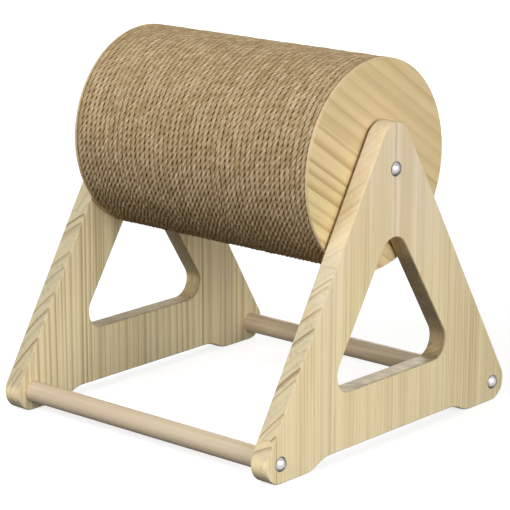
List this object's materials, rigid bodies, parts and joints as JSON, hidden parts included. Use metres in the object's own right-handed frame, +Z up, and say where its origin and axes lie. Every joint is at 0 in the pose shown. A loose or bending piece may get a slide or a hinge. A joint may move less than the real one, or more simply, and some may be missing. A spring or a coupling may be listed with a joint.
{
  "type": "cat scratching cylinder",
  "caption": "Free-standing cat scratcher: a rope-wound drum with wooden end discs spins on an axle between two A-shaped wooden side panels joined by round crossbars.",
  "frame": {"origin": "on the floor, in the middle of the four feet", "axes": "+X along the axle to the right seen from the front, +Y to the rear, +Z up"},
  "size_m": [0.2708, 0.28, 0.282],
  "materials": {
    "panel_pine": "sanded pale pine with long grain streaks",
    "disc_pine": "sanded warm pine with broad growth bands",
    "dowel_wood": "smooth turned dowel",
    "rope_fibre": "three-strand laid plant-fibre rope",
    "tube_board": "wound brown board tube",
    "bolt_chrome": "bright domed head",
    "insert_brass": "plain turned",
    "rod_steel": "bright drawn steel",
    "bearing_plastic": "natural white nylon"
  },
  "bodies": {
    "frame": {"left_side_panel": "panel_pine", "right_side_panel": "panel_pine", "front_crossbar": "dowel_wood", "rear_crossbar": "dowel_wood", "crossbar_bolts": "bolt_chrome", "axle_bolts": "bolt_chrome", "crossbar_inserts": "insert_brass", "axle_rod": "rod_steel", "left_axle_washer": "bearing_plastic", "right_axle_washer": "bearing_plastic"},
    "drum": {"left_bushing": "bearing_plastic", "right_bushing": "bearing_plastic", "left_end_disc": "disc_pine", "right_end_disc": "disc_pine", "core_tube": "tube_board", "core_tube_brads": "rod_steel", "rope_winding": "rope_fibre"}
  },
  "joints": [
    {"name": "drum_spin", "type": "hinge", "parent": "frame", "child": "drum", "pos_m": [0, 0, 0.204], "axis": [1, 0, 0], "continuous": true}
  ]
}
